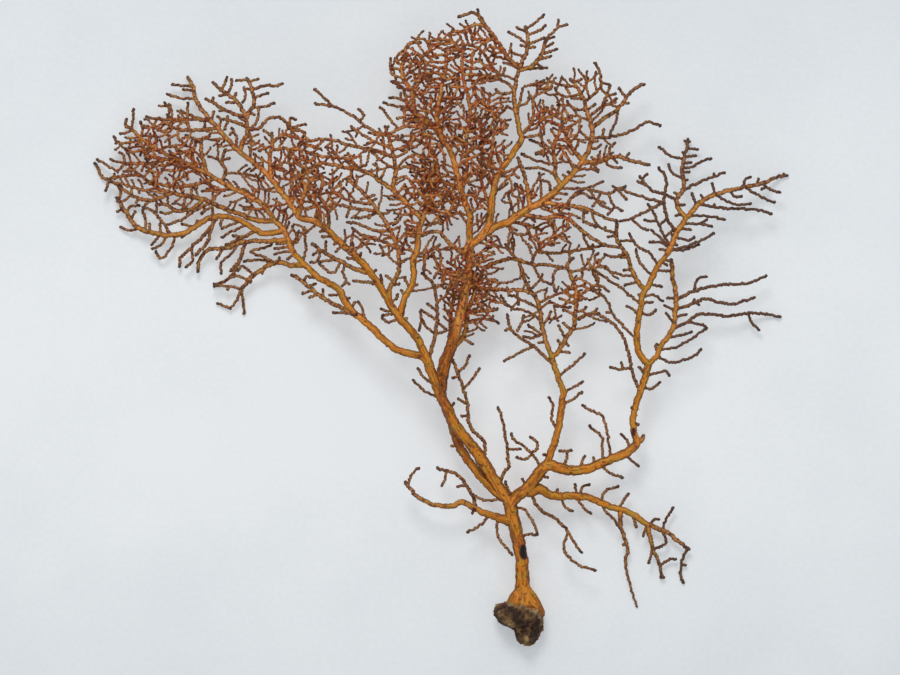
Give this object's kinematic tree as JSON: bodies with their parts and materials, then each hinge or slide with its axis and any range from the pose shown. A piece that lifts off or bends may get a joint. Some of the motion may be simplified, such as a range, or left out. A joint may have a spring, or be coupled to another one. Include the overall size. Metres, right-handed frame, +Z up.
{
  "type": "sea fan",
  "caption": "Dried branching sea fan lying flat, its flared holdfast still on a loose lump of stone, with boughs that fork into fine knobbly twigs.",
  "frame": {"origin": "middle of the flat underside of the stone, on the surface that the fan lies on", "axes": "+X across the fan to the right, +Y from the stone towards the crown, +Z up from the surface that the fan lies on"},
  "size_m": [0.3497, 0.3172, 0.039],
  "materials": {
    "branch": "matte, ridged and pitted",
    "twig": "matte, knobbly",
    "stone": "rough"
  },
  "bodies": {
    "root": {"stone": "stone", "trunk": "branch", "low_left": "branch", "left_main": "branch", "right_main": "branch", "right_bough": "branch", "right_riser": "branch", "fan_left": "branch", "fan_veil": "twig", "fan_right": "branch", "fan_top": "branch", "fan_spire": "twig", "low_right": "branch", "mid_bough": "branch", "mid_west": "twig", "mid_east": "twig", "centre_stem": "branch", "inner_stem": "twig", "cross_branch": "twig", "crown_east": "branch", "crown_east_tip": "branch", "crown_mid": "branch", "crown_spire": "twig", "centre_west": "branch", "crown_west": "twig", "crown_far_west": "twig", "crown_thread": "twig", "left_high": "branch", "left_spray": "branch", "left_peak": "twig", "left_low": "branch", "left_middle": "branch", "left_low_tip": "twig", "left_sweep": "twig", "left_hem": "branch", "left_fringe": "twig", "left_drop": "twig", "left_skirt": "twig", "west_riser": "branch", "west_left": "twig", "west_right": "twig", "west_stem": "twig", "throat_stem": "twig"}
  },
  "joints": []
}
